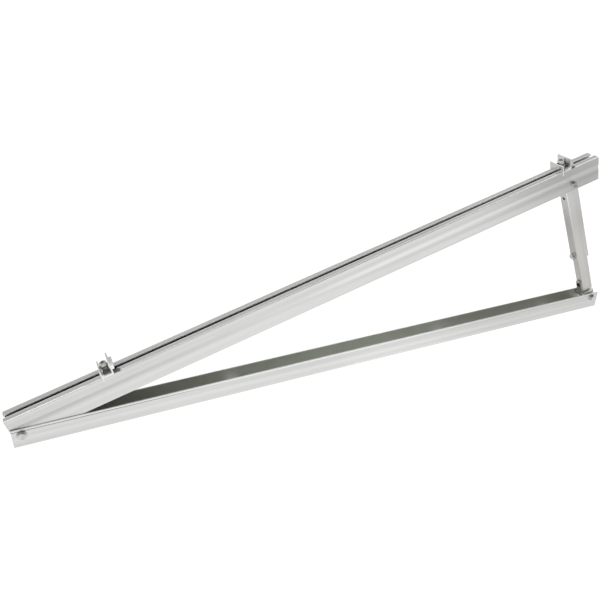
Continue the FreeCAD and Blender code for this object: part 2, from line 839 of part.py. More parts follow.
def clamp_spring(name, along):
    """An open coil of six-sided wire between the clamp's floor and the screw's washer."""
    body = new_body(name + "_clamp_spring")
    section = new_sketch(body, "XZ_Plane")
    add_outline(section, [(S.spring_mean_dia / 2 + x, S.spring_wire / 2 + y)
                          for x, y in hexagon(S.spring_wire)])
    coil = body.newObject("PartDesign::AdditiveHelix", "Coil")
    coil.Profile = section
    coil.ReferenceAxis = (section, ["V_Axis"])
    coil.Mode = "height-turns-angle"
    bind(coil, "Height", S.spring_height - S.spring_wire)
    bind(coil, "Turns", S.spring_turns)
    DOC.recompute()
    place_on_rail(body, along, S.rail_height + S.clamp_floor)
    return body


def slot_nut(name, along):
    """A nut that fills the T-slot under the lips, with a neck in the slot."""
    body = new_body(name + "_slot_nut")
    under_lip = -S.rail_lip
    half_length = S.slot_nut_length / 2
    half_width = S.slot_room_width / 2 - S.slot_nut_side_play
    block = new_sketch(body, "XY_Plane", under_lip)
    add_outline(block, rectangle(half_length, -half_width, half_width))
    pad(body, block, S.slot_nut_thickness, reverse=True)
    neck = new_sketch(body, "XY_Plane", under_lip)
    half_neck = S.slot_width / 2 - S.slot_nut_neck_play
    add_outline(neck, rectangle(half_length, -half_neck, half_neck))
    pad(body, neck, S.slot_nut_neck)
    hole = new_sketch(body, "XY_Plane")
    add_circle(hole, 0, 0, S.screw_dia / 2 + S.thread_gap)
    cut(body, hole)
    place_on_rail(body, along, S.rail_height)
    return body


def nut_clip(name, along):
    """A strip that keeps the slot nut under its clamp, bent out of the slot to a pad on the near lip."""
    body = new_body(name + "_nut_clip")
    start = S.slot_nut_length / 2
    arm = S.clamp_gap / 2 + S.clamp_wall + S.clip_gap
    post = arm + S.clip_thickness
    half = S.slot_width / 2 - S.slot_nut_neck_play
    profile = new_sketch(body, "XZ_Plane")
    add_outline(profile, [
        (start, -S.clip_drop),
        (post, -S.clip_drop),
        (post, S.clip_thickness),
        (arm, S.clip_thickness),
        (arm, S.clip_thickness - S.clip_drop),
        (start, S.clip_thickness - S.clip_drop),
    ])
    pad(body, profile, half * 2, symmetric=True)
    strip = new_sketch(body, "XY_Plane")
    add_outline(strip, [
        (arm, -S.clip_pad_end),
        (arm + S.clip_pad_length, -S.clip_pad_end),
        (arm + S.clip_pad_length, -S.clip_pad_start),
        (arm + S.clip_width, -S.clip_pad_start),
        (arm + S.clip_width, half),
        (arm, half),
    ])
    pad(body, strip, S.clip_thickness)
    place_on_rail(body, along, S.rail_height)
    return body


def clamp_set(name, along):
    """A module clamp with its screw, washer, spring, slot nut and clip."""
    washer_up = S.rail_height + S.clamp_floor + S.spring_height
    washer = tube(name + "_clamp_washer", S.screw_washer_dia / 2, S.screw_dia / 2 + S.pivot_fit,
                  S.screw_washer_thickness)
    place_on_rail(washer, along, washer_up)
    screw = socket_screw(name + "_clamp_screw", S.screw_dia / 2, S.screw_head_dia / 2,
                         S.screw_head_height, S.screw_key_flats, S.screw_key_depth, S.screw_length)
    place_on_rail(screw, along, washer_up + S.screw_washer_thickness)
    return [
        clamp_body(name, along),
        washer,
        screw,
        clamp_spring(name, along),
        slot_nut(name, along),
        nut_clip(name, along),
    ]


def build():
    pieces = [base_channel(), top_rail(), strut_sleeve(), strut_leg(), foot_bracket(), bracket_screw()]
    pieces += hinge_set()
    pieces += strut_pin_set()
    pieces += foot_set()
    pieces += adjuster_set()
    pieces += clamp_set("lower", S.lower_clamp_along)
    pieces += clamp_set("upper", S.rail_length - S.upper_clamp_from_end)
    DOC.recompute()
    return pieces


def check(pieces):
    """Stop if any object failed or any piece is not a sound solid."""
    for thing in DOC.Objects:
        if "Invalid" in thing.State or "Error" in thing.State:
            raise RuntimeError("%s failed: %s" % (thing.Label, thing.State))
    for piece in pieces:
        shape = piece.Shape
        if shape.isNull() or not shape.isValid() or not shape.Solids:
            raise RuntimeError("%s is not a valid solid" % piece.Label)


def export(pieces):
    os.makedirs("parts", exist_ok=True)
    for piece in pieces:
        piece.Shape.exportStep("parts/%s.step" % piece.Label)


PIECES = build()
check(PIECES)
export(PIECES)
print("tilt frame: %d nodes, strut %.1f mm between bolts, leaning %.2f degrees"
      % (len(PIECES), STRUT_LENGTH.number, LEAN.number))
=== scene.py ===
"""Looks of a tilt frame for a solar panel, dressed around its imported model.

Everything is in metres. +X runs along the base channel from the hinge to the
strut, +Y points to the side of the pivot nuts and +Z is up.
"""

from __future__ import annotations

import json
import logging
import math
from contextlib import contextmanager
from dataclasses import dataclass
from enum import Enum
from typing import Any, Callable, Iterator, Union
import bmesh  # noqa: E402
import bpy  # noqa: E402
from mathutils import Matrix, Vector  # noqa: E402

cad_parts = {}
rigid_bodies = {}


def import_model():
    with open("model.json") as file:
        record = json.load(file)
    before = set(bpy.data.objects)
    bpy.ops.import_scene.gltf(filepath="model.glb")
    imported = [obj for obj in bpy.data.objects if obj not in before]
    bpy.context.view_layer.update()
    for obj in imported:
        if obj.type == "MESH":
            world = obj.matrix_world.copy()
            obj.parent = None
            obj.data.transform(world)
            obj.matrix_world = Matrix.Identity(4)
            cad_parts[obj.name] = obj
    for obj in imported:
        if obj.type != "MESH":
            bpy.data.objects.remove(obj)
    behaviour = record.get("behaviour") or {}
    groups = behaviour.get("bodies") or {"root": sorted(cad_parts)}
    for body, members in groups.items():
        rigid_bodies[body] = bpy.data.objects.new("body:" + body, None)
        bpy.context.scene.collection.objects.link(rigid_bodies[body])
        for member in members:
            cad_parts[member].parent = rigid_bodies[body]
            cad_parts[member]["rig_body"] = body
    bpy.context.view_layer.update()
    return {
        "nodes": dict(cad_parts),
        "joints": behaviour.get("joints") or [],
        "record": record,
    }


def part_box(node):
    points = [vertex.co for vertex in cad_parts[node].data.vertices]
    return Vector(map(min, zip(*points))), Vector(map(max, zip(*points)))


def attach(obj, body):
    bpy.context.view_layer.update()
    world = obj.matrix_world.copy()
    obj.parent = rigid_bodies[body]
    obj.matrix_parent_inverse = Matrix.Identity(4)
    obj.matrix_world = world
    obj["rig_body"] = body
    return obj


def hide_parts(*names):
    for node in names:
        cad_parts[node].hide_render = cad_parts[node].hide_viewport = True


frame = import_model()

log = logging.getLogger("tilt_frame")

MM = 0.001
# Points nearer to each other than this are one.
MERGE = 1e-6
# Packed faces that meet at less than this angle, in degrees, are one flat face.
FLAT = 0.5
# An edge's mark is whole up to this distance.
EDGE_CORE = 0.3 * MM
# Where the painted shade round a washer begins and ends, from the bolt's axis, and how softly.
WASHER_RING = (7.4 * MM, 9.6 * MM, 0.8 * MM)
ORIGIN = Vector((0.0, 0.0, 0.0))
X_WAY = Vector((1.0, 0.0, 0.0))
Y_WAY = Vector((0.0, 1.0, 0.0))
Z_WAY = Vector((0.0, 0.0, 1.0))
Triple = tuple[float, float, float]
Colour = Triple
# Bright metal: the colour of real scratches, and of the painted highlights on edges, beads, wall tops, lips,
# grooves, the sleeve's upper end and the bracket's plate.
WEAR_AND_HIGHLIGHT: Colour = (0.92, 0.92, 0.91)
# Painted shade: the colour of the shade painted under beads, round a washer, on top faces, in grooves, on the
# leg and towards the ends.
PAINTED_SHADE: Colour = (0.16, 0.16, 0.15)


class Finish(Enum):
    """The finishes, each with the name of its material slot."""

    BASE = "base_aluminium"
    RAIL = "rail_aluminium"
    STRUT = "strut_aluminium"
    CLAMP = "clamp_aluminium"
    TURNED = "nut_aluminium"
    BRACKET = "bracket_steel"
    BOLT = "bolt_steel"
    OXIDE = "dark_steel"
    CLIP = "clip_plastic"


class Way(Enum):
    """The three directions that a place is counted in."""

    ALONG = 0
    ACROSS = 1
    UP = 2


@dataclass(frozen=True)
class Fade:
    """A smooth change in one direction.

    Attributes:
        way: The direction.
        low: Where the change begins.
        high: Where it ends.
        start: The share before it.
        end: The share after it.
    """

    way: Way
    low: float
    high: float
    start: float = 0.0
    end: float = 1.0


class Sock:
    """A node output that takes part in sums as a number would."""

    def __init__(self, graph: Graph, output: bpy.types.NodeSocket) -> None:
        """Keep a node's output and the graph that its sums are added to."""
        self.graph = graph
        self.output = output

    def __add__(self, other: Value) -> Sock:
        """Sum of two values, in either order."""
        return self.graph.math("ADD", self, other)

    def __sub__(self, other: Value) -> Sock:
        """Difference of two values."""
        return self.graph.math("SUBTRACT", self, other)

    def __rsub__(self, other: Value) -> Sock:
        """Difference with a number on the left."""
        return self.graph.math("SUBTRACT", other, self)

    def __mul__(self, other: Value) -> Sock:
        """Product of two values, in either order."""
        return self.graph.math("MULTIPLY", self, other)

    def __abs__(self) -> Sock:
        """Size of a value without its sign."""
        return self.graph.math("ABSOLUTE", self)

    __radd__ = __add__
    __rmul__ = __mul__


Value = Union[Sock, float, tuple]
Place = tuple[Sock, Sock, Sock]


class Graph:
    """The node graph of a material or of the world."""

    def __init__(self, owner: bpy.types.Material | bpy.types.World) -> None:
        """Take the owner's graph and empty it.

        Args:
            owner: The material or the world.
        """
        owner.use_nodes = True
        self.tree = owner.node_tree
        self.tree.nodes.clear()

    def node(self, kind: str, settings: dict[str, Any] | None = None, **inputs: Value) -> bpy.types.Node:
        """Add a node.

        Args:
            kind: The node's type.
            settings: Its properties, which are set before its sockets.
            **inputs: Its sockets by name, or by place as _0, _1 and so on.

        Returns:
            The new node.
        """
        node = self.tree.nodes.new(kind)
        for name, value in (settings or {}).items():
            setattr(node, name, value)
        for name, value in inputs.items():
            key = int(name[1:]) if name.startswith("_") else name.replace("_", " ")
            self.put(node.inputs[key], value)
        return node

    def put(self, socket: bpy.types.NodeSocket, value: Value) -> None:
        """Link a value to a socket, or set the socket to a plain number.

        Args:
            socket: The node input.
            value: What it gets.
        """
        if isinstance(value, Sock):
            self.tree.links.new(value.output, socket)
        else:
            socket.default_value = value

    def math(self, operation: str, first: Value, second: Value | None = None) -> Sock:
        """Work out one sum.

        Args:
            operation: The Math node's operation.
            first: Its first value.
            second: Its second value, where it has one.

        Returns:
            The result.
        """
        node = self.node("ShaderNodeMath", {"operation": operation}, _0=first)
        if second is not None:
            self.put(node.inputs[1], second)
        return Sock(self, node.outputs[0])

    def split(self, vector: bpy.types.NodeSocket) -> Place:
        """Take the three parts of a vector."""
        node = self.node("ShaderNodeSeparateXYZ", Vector=Sock(self, vector))
        return tuple(Sock(self, output) for output in node.outputs)

    def place(self, run: Vector = X_WAY, origin: Vector = ORIGIN) -> Place:
        """Read where a point is, turned so that the first value runs along the piece.

        Args:
            run: The direction of the piece's length: in the XZ plane, or +Y.
            origin: A point in the middle plane that the places are counted from.

        Returns:
            The place along the piece, across it and up from it, in metres.
        """
        spot = Sock(self, self.node("ShaderNodeTexCoord").outputs["Object"])
        turn = math.atan2(run.z, run.x)
        turned = self.node("ShaderNodeMapping", Vector=spot, Rotation=(0.0, turn, 0.0))
        along, across, up = self.split(turned.outputs[0])
        if run.y:
            return across, along, up
        return along - origin.dot(run), across, up - origin.dot(Vector((-run.z, 0.0, run.x)))

    def noise(self, spot: Place, sizes: Triple, detail: float = 2.0) -> Sock:
        """Soft random spots.

        Args:
            spot: Where the point is.
            sizes: The spots' length in each direction, in metres.
            detail: How many finer layers they have.

        Returns:
            A value from 0 to 1, about 0.5 on average.
        """
        scaled = [part * (1.0 / size) for part, size in zip(spot, sizes)]
        vector = self.node("ShaderNodeCombineXYZ", _0=scaled[0], _1=scaled[1], _2=scaled[2])
        texture = self.node("ShaderNodeTexNoise", Vector=Sock(self, vector.outputs[0]), Scale=1.0,
                            Detail=detail, Roughness=0.55)
        return Sock(self, texture.outputs[0])

    def ramp(self, value: Value, low: float, high: float, start: float = 0.0, end: float = 1.0) -> Sock:
        """Turn a range of a value smoothly into another range.

        Args:
            value: The value to read.
            low: Where the range begins.
            high: Where it ends.
            start: The result at its beginning.
            end: The result at its end.

        Returns:
            The result, held at start and end outside the range.
        """
        node = self.node("ShaderNodeMapRange", {"interpolation_type": "SMOOTHSTEP"}, _0=value,
                         _1=low, _2=high, _3=start, _4=end)
        return Sock(self, node.outputs[0])

    def between(self, value: Sock, low: float, high: float, soft: float) -> Sock:
        """Mark a range of a value with 1, which fades to 0 over a soft length inside its two ends."""
        return self.ramp(value, low, low + soft) * self.ramp(value, high - soft, high, 1.0, 0.0)

    def fade(self, spot: Place, first: Fade, *others: Fade) -> Sock:
        """Multiply the shares that one or more changes give a place."""
        share = self.ramp(spot[first.way.value], first.low, first.high, first.start, first.end)
        return share * self.fade(spot, *others) if others else share

    def mix(self, share: Value, first: Value, second: Value) -> Sock:
        """Mix two colours.

        Args:
            share: How much of the second colour there is.
            first: The colour at 0.
            second: The colour at 1.

        Returns:
            The mixed colour.
        """
        node = self.node("ShaderNodeMix", {"data_type": "RGBA"})
        colours = [item for item in node.inputs if item.type == "RGBA"]
        for socket, value in zip((node.inputs[0], *colours), (share, first, second)):
            self.put(socket, (*value, 1.0) if isinstance(value, tuple) else value)
        return Sock(self, next(item for item in node.outputs if item.type == "RGBA"))

    def bump(self, height: Sock, depth: float) -> Sock:
        """Tilt the surface's normal by a height, where a height of 1 is the full depth in metres."""
        return Sock(self, self.node("ShaderNodeBump", Height=height, Distance=depth).outputs[0])

    def shader(self, colour: Value, roughness: Value, metallic: float, normal: Sock | None = None) -> Sock:
        """Add a Principled shader.

        Args:
            colour: The base colour.
            roughness: The roughness.
            metallic: 1 for bare metal, 0 for plastic.
            normal: The bumped normal, if there is one.

        Returns:
            The shader's output.
        """
        shader = self.node("ShaderNodeBsdfPrincipled", Roughness=roughness, Metallic=metallic)
        self.put(shader.inputs["Base Color"], (*colour, 1.0) if isinstance(colour, tuple) else colour)
        if normal is not None:
            self.put(shader.inputs["Normal"], normal)
        return Sock(self, shader.outputs[0])

    def rays(self, first: str, *others: str) -> Sock:
        """Mark the rays of one or more kinds, which are named as in the Light Path node."""
        share = Sock(self, self.node("ShaderNodeLightPath").outputs["Is %s Ray" % first])
        return self.math("MAXIMUM", share, self.rays(*others)) if others else share


@dataclass
class Skin:
    """A surface whose colour and roughness are worked out from place to place.

    Attributes:
        graph: The material's graph.
        spot: The place along the piece, across it and up from it.
        colour: The colour so far.
        roughness: The roughness so far.
    """

    graph: Graph
    spot: Place
    colour: Sock
    roughness: Sock

    def tint(self, share: Value, colour: Value) -> None:
        """Mix a share of another colour in."""
        self.colour = self.graph.mix(share, self.colour, colour)

    def distance(self, first: Sock, second: Sock) -> Sock:
        """Work out the length of the long side of a right-angled triangle."""
        return self.graph.math("SQRT", first * first + second * second)

    def near_edge(self, side: float, height: float, reach: float = 1.3 * MM) -> Sock:
        """Mark the metal within reach of a long edge that lies on each side of a section."""
        away = self.distance(abs(self.spot[1]) - side, self.spot[2] - height)
        return self.graph.ramp(away, EDGE_CORE, reach, 1.0, 0.0)

    def round_bolt(self, along: float, up: float) -> Sock:
        """Mark the ring of metal just outside the washer of a bolt at this place."""
        away = self.distance(self.spot[0] - along, self.spot[2] - up)
        return self.graph.between(away, *WASHER_RING)


Details = Callable[[Skin], None]


@dataclass(frozen=True)
class Coat:
    """A finish that is made as one material.

    Attributes:
        finish: The finish that the material stands for.
        light: Its colour where it is lightest.
        dark: Its colour where it is darkest.
        roughness: Its roughness on average.
        run: The direction that the places are counted along.
        origin: The point that they are counted from.
        details: What changes the colour and the roughness from place to place.
    """

    finish: Finish
    light: Colour
    dark: Colour
    roughness: float
    run: Vector = X_WAY
    origin: Vector = ORIGIN
    details: Details | None = None

    def make(self) -> bpy.types.Material:
        """Build the material.

        Returns:
            The material.
        """
        material = bpy.data.materials.new(self.finish.value)
        graph = Graph(material)
        surface = self.surface(graph, graph.place(self.run, self.origin))
        graph.node("ShaderNodeOutputMaterial", Surface=surface)
        return material

    def surface(self, graph: Graph, spot: Place) -> Sock:
        """Build the surface in the way of this kind of finish."""
        raise NotImplementedError

    def skin(self, graph: Graph, spot: Place, colour: Sock, roughness: Sock) -> Skin:
        """Work the details into a plain colour and roughness.

        Args:
            graph: The material's graph.
            spot: The place along the piece, across it and up from it.
            colour: The plain colour.
            roughness: The plain roughness.

        Returns:
            The skin with its details.
        """
        skin = Skin(graph, spot, colour, roughness)
        if self.details is not None:
            self.details(skin)
        return skin


@dataclass(frozen=True)
class DrawnAluminium(Coat):
    """Mill-finished aluminium with the lines that an extrusion die leaves along it.

    Attributes:
        bands: The length, width and height of the broadest marks of the die.
        lines: The same for its lines.
        hairs: The same for its finest lines.
        clouds: The same for dull patches.
        scuffs: The same for short bright scratches.
        shades: The range of the marks' sum in which the metal turns from dark to light.
        dulled: The range of the lines and patches in which it turns from smooth to rough.
        scuffed: The range of the scratches' noise in which they show.
        scuff_share: How bright they are.
        depth: The depth of the lines, in metres.
    """

    roughness: float = 0.36
    bands: Triple = (1.1, 0.011, 0.011)
    lines: Triple = (0.35, 0.0022, 0.0022)
    hairs: Triple = (0.09, 0.0004, 0.0004)
    clouds: Triple = (0.16, 0.05, 0.05)
    scuffs: Triple = (0.012, 0.0012, 0.0012)
    shades: tuple[float, float] = (0.6, 1.25)
    dulled: tuple[float, float] = (0.45, 1.05)
    scuffed: tuple[float, float] = (0.66, 0.74)
    scuff_share: float = 0.3
    depth: float = 0.00005

    def surface(self, graph: Graph, spot: Place) -> Sock:
        """Build the metal's surface.

        Args:
            graph: The material's graph.
            spot: The place along the piece, across it and up from it.

        Returns:
            The surface.
        """
        bands = graph.noise(spot, self.bands, 1.0)
        lines = graph.noise(spot, self.lines, 2.0)
        hairs = graph.noise(spot, self.hairs, 2.0)
        clouds = graph.noise(spot, self.clouds, 3.0)
        scuffs = graph.ramp(graph.noise(spot, self.scuffs, 4.0), *self.scuffed)
        shade = 0.9 * bands + 0.35 * lines + 0.3 * hairs + 0.35 * clouds
        colour = graph.mix(graph.ramp(shade, *self.shades), self.dark, self.light)
        smooth, rough = self.roughness - 0.06, self.roughness + 0.08
        roughness = graph.ramp(lines + 0.5 * clouds, *self.dulled, smooth, rough)
        skin = self.skin(graph, spot, colour, roughness)
        skin.tint(self.scuff_share * scuffs, WEAR_AND_HIGHLIGHT)
        normal = graph.bump(0.7 * hairs + 0.8 * lines, self.depth)
        return graph.shader(skin.colour, skin.roughness, 1.0, normal)


@dataclass(frozen=True)
class PlainMetal(Coat):
    """A metal with fine grain in no direction, and a few lighter rubs.

    Attributes:
        metallic: 1 for bare metal, less under an oxide.
        grain: The size of the grain, in metres.
        patch: The size of the rubs.
        depth: The depth of the grain.
    """

    metallic: float = 1.0
    grain: float = 0.0006
    patch: float = 0.006
    depth: float = 0.00001

    def surface(self, graph: Graph, spot: Place) -> Sock:
        """Build the metal's surface.

        Args:
            graph: The material's graph.
            spot: The place along the piece, across it and up from it.

        Returns:
            The surface.
        """
        grain = graph.noise(spot, (self.grain,) * 3, 3.0)
        clouds = graph.noise(spot, (self.patch,) * 3, 3.0)
        colour = graph.mix(graph.ramp(0.6 * clouds + 0.4 * grain, 0.35, 0.65), self.dark, self.light)
        roughness = graph.ramp(clouds, 0.3, 0.7, self.roughness - 0.04, self.roughness + 0.05)
        skin = self.skin(graph, spot, colour, roughness)
        return graph.shader(skin.colour, skin.roughness, self.metallic, graph.bump(grain, self.depth))


@dataclass(frozen=True)
class Moulding(Coat):
    """Dark plastic with a fine grain.

    Attributes:
        grain: The size of the grain, in metres.
        patch: The size of the lighter patches.
        depth: The depth of the grain.
    """

    finish: Finish = Finish.CLIP
    light: Colour = (0.15, 0.15, 0.15)
    dark: Colour = (0.10, 0.10, 0.10)
    roughness: float = 0.42
    grain: float = 0.0005
    patch: float = 0.005
    depth: float = 0.00004

    def surface(self, graph: Graph, spot: Place) -> Sock:
        """Build the plastic's surface.

        Args:
            graph: The material's graph.
            spot: The place along the piece, across it and up from it.

        Returns:
            The surface.
        """
        grain = graph.noise(spot, (self.grain,) * 3, 2.0)
        clouds = graph.noise(spot, (self.patch,) * 3, 2.0)
        colour = graph.mix(graph.ramp(clouds, 0.35, 0.65), self.dark, self.light)
        roughness = graph.ramp(grain, 0.3, 0.7, self.roughness - 0.06, self.roughness + 0.06)
        return graph.shader(colour, roughness, 0.0, graph.bump(grain, self.depth))


def joint(name: str) -> dict[str, Any]:
    """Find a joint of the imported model, as the record states it."""
    return next(item for item in frame["joints"] if item["name"] == name)


class Bench:
    """Blender's modelling tools, used on one piece at a time.

    A piece is made around +Z, standing on the XY plane, and is then set in place.
    """

    @staticmethod
    def take(*pieces: bpy.types.Object) -> None:
        """Select these objects alone.

        Args:
            *pieces: The objects, of which the first becomes active.
        """
        bpy.ops.object.select_all(action="DESELECT")
        for piece in pieces:
            piece.select_set(True)
        bpy.context.view_layer.objects.active = pieces[0]

    @staticmethod
    def add(name: str, primitive: Callable[..., Any], **settings: Any) -> bpy.types.Object:
        """Add a primitive, with its place in its mesh.

        Args:
            name: The object's name.
            primitive: The operator that adds it.
            **settings: The operator's properties.

        Returns:
            The new object.
        """
        bpy.ops.object.select_all(action="DESELECT")
        primitive(**settings)
        piece = bpy.context.object
        piece.name = name
        bpy.ops.object.transform_apply(location=True, rotation=True, scale=True)
        return piece

    @staticmethod
    def cylinder(name: str, radius: float, bottom: float, top: float, sides: int,
                 top_radius: float | None = None) -> bpy.types.Object:
        """Add a cylinder or a frustum.

        Args:
            name: The object's name.
            radius: Its radius at the bottom.
            bottom: The height of its lower face.
            top: The height of its upper face.
            sides: How many sides it has.
            top_radius: Its radius at the top, where it is another.

        Returns:
            The new object.
        """
        return Bench.add(name, bpy.ops.mesh.primitive_cone_add, vertices=sides, radius1=radius,
                         radius2=radius if top_radius is None else top_radius, depth=top - bottom,
                         location=(0.0, 0.0, (top + bottom) / 2.0))

    @staticmethod
    @contextmanager
    def edit(piece: bpy.types.Object, whole: bool = False) -> Iterator[bmesh.types.BMesh]:
        """Open an object in edit mode.

        Args:
            piece: The object.
            whole: Whether all of it is selected, or nothing.

        Yields:
            Its edit mesh, in which faces, edges and points are selected.
        """
        Bench.take(piece)
        bpy.ops.object.mode_set(mode="EDIT")
        bpy.ops.mesh.select_all(action="SELECT" if whole else "DESELECT")
        yield bmesh.from_edit_mesh(piece.data)
        bpy.ops.object.mode_set(mode="OBJECT")

    @staticmethod
    def modify(piece: bpy.types.Object, kind: str, **settings: Any) -> None:
        """Add a modifier and apply it.

        Args:
            piece: The object.
            kind: The modifier's type.
            **settings: Its properties.
        """
        modifier = piece.modifiers.new(kind.lower(), kind)
        for name, value in settings.items():
            setattr(modifier, name, value)
        Bench.take(piece)
        bpy.ops.object.modifier_apply(modifier=modifier.name)

    @staticmethod
    def carve(piece: bpy.types.Object, tool: bpy.types.Object, operation: str) -> None:
        """Shape a piece by a Boolean operation with a tool, which is used up."""
        Bench.modify(piece, "BOOLEAN", operation=operation, object=tool, solver="EXACT")
        bpy.data.objects.remove(tool)

    @staticmethod
    def copy(node: str, name: str) -> bpy.types.Object:
        """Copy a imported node, with its loose triangles merged to whole faces.

        Args:
            node: The node's name.
            name: The copy's name.

        Returns:
            The copy.
        """
        piece = bpy.data.objects.new(name, frame["nodes"][node].data.copy())
        bpy.context.scene.collection.objects.link(piece)
        Bench.take(piece)
        bpy.ops.mesh.customdata_custom_splitnormals_clear()
        with Bench.edit(piece, whole=True):
            bpy.ops.mesh.remove_doubles(threshold=MERGE)
            bpy.ops.mesh.dissolve_limited(angle_limit=math.radians(FLAT))
        return piece

    @staticmethod
    def join(first: bpy.types.Object, *others: bpy.types.Object) -> bpy.types.Object:
        """Make several objects one.

        Args:
            first: The object that the others become part of.
            *others: The other objects.

        Returns:
            The first object.
        """
        Bench.take(first, *others)
        bpy.ops.object.join()
        return first

    @staticmethod
    def deburr(piece: bpy.types.Object, width: float) -> bpy.types.Object:
        """Break a piece's sharp edges, as a file or a tumbler leaves them.

        Args:
            piece: The piece.
            width: The width of the broken edges.

        Returns:
            The piece.
        """
        Bench.modify(piece, "BEVEL", width=width, segments=2, limit_method="ANGLE",
                     angle_limit=math.radians(30.0))
        return Bench.settle(piece, Matrix.Identity(4))

    @staticmethod
    def settle(piece: bpy.types.Object, place: Matrix, angle: float = 30.0) -> bpy.types.Object:
        """Set a finished piece in place and shade its round faces smooth.

        Args:
            piece: The piece.
            place: Where it goes.
            angle: The angle between faces up to which they are shaded as one, in degrees.

        Returns:
            The piece.
        """
        piece.matrix_world = place
        Bench.take(piece)
        bpy.ops.object.transform_apply(location=True, rotation=True, scale=True)
        with Bench.edit(piece, whole=True):
            bpy.ops.mesh.normals_make_consistent(inside=False)
        Bench.take(piece)
        bpy.ops.object.shade_smooth_by_angle(angle=math.radians(angle))
        return piece


class Shelf:
    """The finishes that are ready, and how pieces get them."""

    def __init__(self) -> None:
        """Start with an empty shelf."""
        self.materials: dict[Finish, bpy.types.Material] = {}

    def add(self, coat: Coat) -> None:
        """Make a finish and keep it."""
        self.materials[coat.finish] = coat.make()

    def clad(self, piece: bpy.types.Object, node: str) -> Finish:
        """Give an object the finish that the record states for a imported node.

        Args:
            piece: The object.
            node: The node's name.

        Returns:
            The finish.
        """
        slots = {part["node"]: part["material_slot"] for part in frame["record"]["subparts"]}
        finish = Finish(slots[node])
        piece.data.materials.clear()
        piece.data.materials.append(self.materials[finish])
        log.info("%s is covered with %s", piece.name, finish.value)
        return finish

    def stand_for(self, piece: bpy.types.Object, node: str) -> None:
        """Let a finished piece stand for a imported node, in that node's finish.

        Args:
            piece: The piece.
            node: The node's name.
        """
        finish = self.clad(piece, node)
        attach(piece, frame["nodes"][node]["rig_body"])
        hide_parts(node)


@dataclass
class BaseChannel:
    """The channel that lies on the roof.

    Attributes:
        room: Half of the clear width between its walls.
        floor: The thickness of its floor.
        height: Its height.
        face: The distance from the middle to the outside of the beads.
        bead: The height of the beads.
        bead_out: How far the beads stand out.
        inside_tone_and_shade: The tone of the skin inside the channel.
        low_end_shade: The share of that tone left at the low end, where shade is painted.
        painted_highlight: How bright the highlight painted on the beads is along the channel.
        corner_shade: How much shade is painted in the corner under the beads.
        high_end_shade: How much shade is painted towards the high end.
        ring_shade: How much shade is painted in a ring round the hinge bolt's washer.
    """

    room: float = 17.8 * MM
    floor: float = 2.5 * MM
    height: float = 37.5 * MM
    face: float = 20.1 * MM
    bead: float = 3.6 * MM
    bead_out: float = 0.5 * MM
    inside_tone_and_shade: Colour = (0.755, 0.77, 0.72)
    low_end_shade: float = 0.84
    painted_highlight: tuple[Fade, ...] = (Fade(Way.ALONG, -0.6, -0.2, 0.25, 0.85), Fade(Way.ALONG, 0.1, 0.4, 1.0, 0.5))
    corner_shade: Fade = Fade(Way.ALONG, -0.45, -0.25, 0.8, 0.08)
    high_end_shade: Fade = Fade(Way.ALONG, 0.05, 0.45, 0.0, 0.2)
    ring_shade: float = 0.5

    def details(self, skin: Skin) -> None:
        """Give the inside its tone with painted shade towards the low end, paint highlights on the beads and
        the walls' tops, and paint shade under the beads, towards the high end and round the hinge bolt.

        Args:
            skin: The channel's skin, with its places along it, across it and up from its underside.
        """
        graph, (along, across, up) = skin.graph, skin.spot
        side = abs(across)
        foot = self.height - self.bead
        inside = graph.ramp(side, self.room + 0.1 * MM, self.room + 0.6 * MM, 1.0, 0.0)
        inside = inside * graph.between(up, 0.3 * self.floor, self.height - 0.1 * MM, 0.7 * MM)
        # Painted shade: the inside darkens towards the low end, where the rail shades the channel's opening.
        shaded_low_end = tuple(self.low_end_shade * part for part in self.inside_tone_and_shade)
        skin.tint(inside, graph.mix(graph.ramp(along, -0.5, 0.0), shaded_low_end, self.inside_tone_and_shade))
        outside = 1.0 - inside
        # Painted highlight: the beads are lightened, more in the middle of the channel than at its ends.
        bead_highlight = graph.fade(skin.spot, *self.painted_highlight) * outside * graph.ramp(up, foot, foot + 0.6 * MM)
        skin.tint(bead_highlight, WEAR_AND_HIGHLIGHT)
        # Painted highlight: the flat tops of the walls are lightened and made rougher.
        top = outside * graph.ramp(up, self.height - 0.7 * MM, self.height - 0.1 * MM)
        skin.tint(0.9 * top, WEAR_AND_HIGHLIGHT)
        # Painted shade: a dark line in the corner under each bead, strongest at the low end and fading
        # towards the middle.
        corner = skin.near_edge(self.face - self.bead_out, foot - 2.0 * self.bead_out)
        skin.tint(corner * graph.fade(skin.spot, self.corner_shade), PAINTED_SHADE)
        # Painted shade: the channel darkens towards its high end.
        skin.tint(graph.fade(skin.spot, self.high_end_shade), PAINTED_SHADE)
        # Painted shade: a dark ring round the hinge bolt's washer.
        pivot = joint("rail_tilt")["pos_m"]
        skin.tint(self.ring_shade * outside * skin.round_bolt(pivot[0], pivot[2]), PAINTED_SHADE)
        skin.roughness = skin.roughness + 0.12 * inside + 0.25 * top

    def dress(self, shelf: Shelf) -> None:
        """Put the channel's finish on the shelf."""
        shelf.add(DrawnAluminium(Finish.BASE, light=(0.83, 0.83, 0.82), dark=(0.67, 0.67, 0.66),
                                 details=self.details))


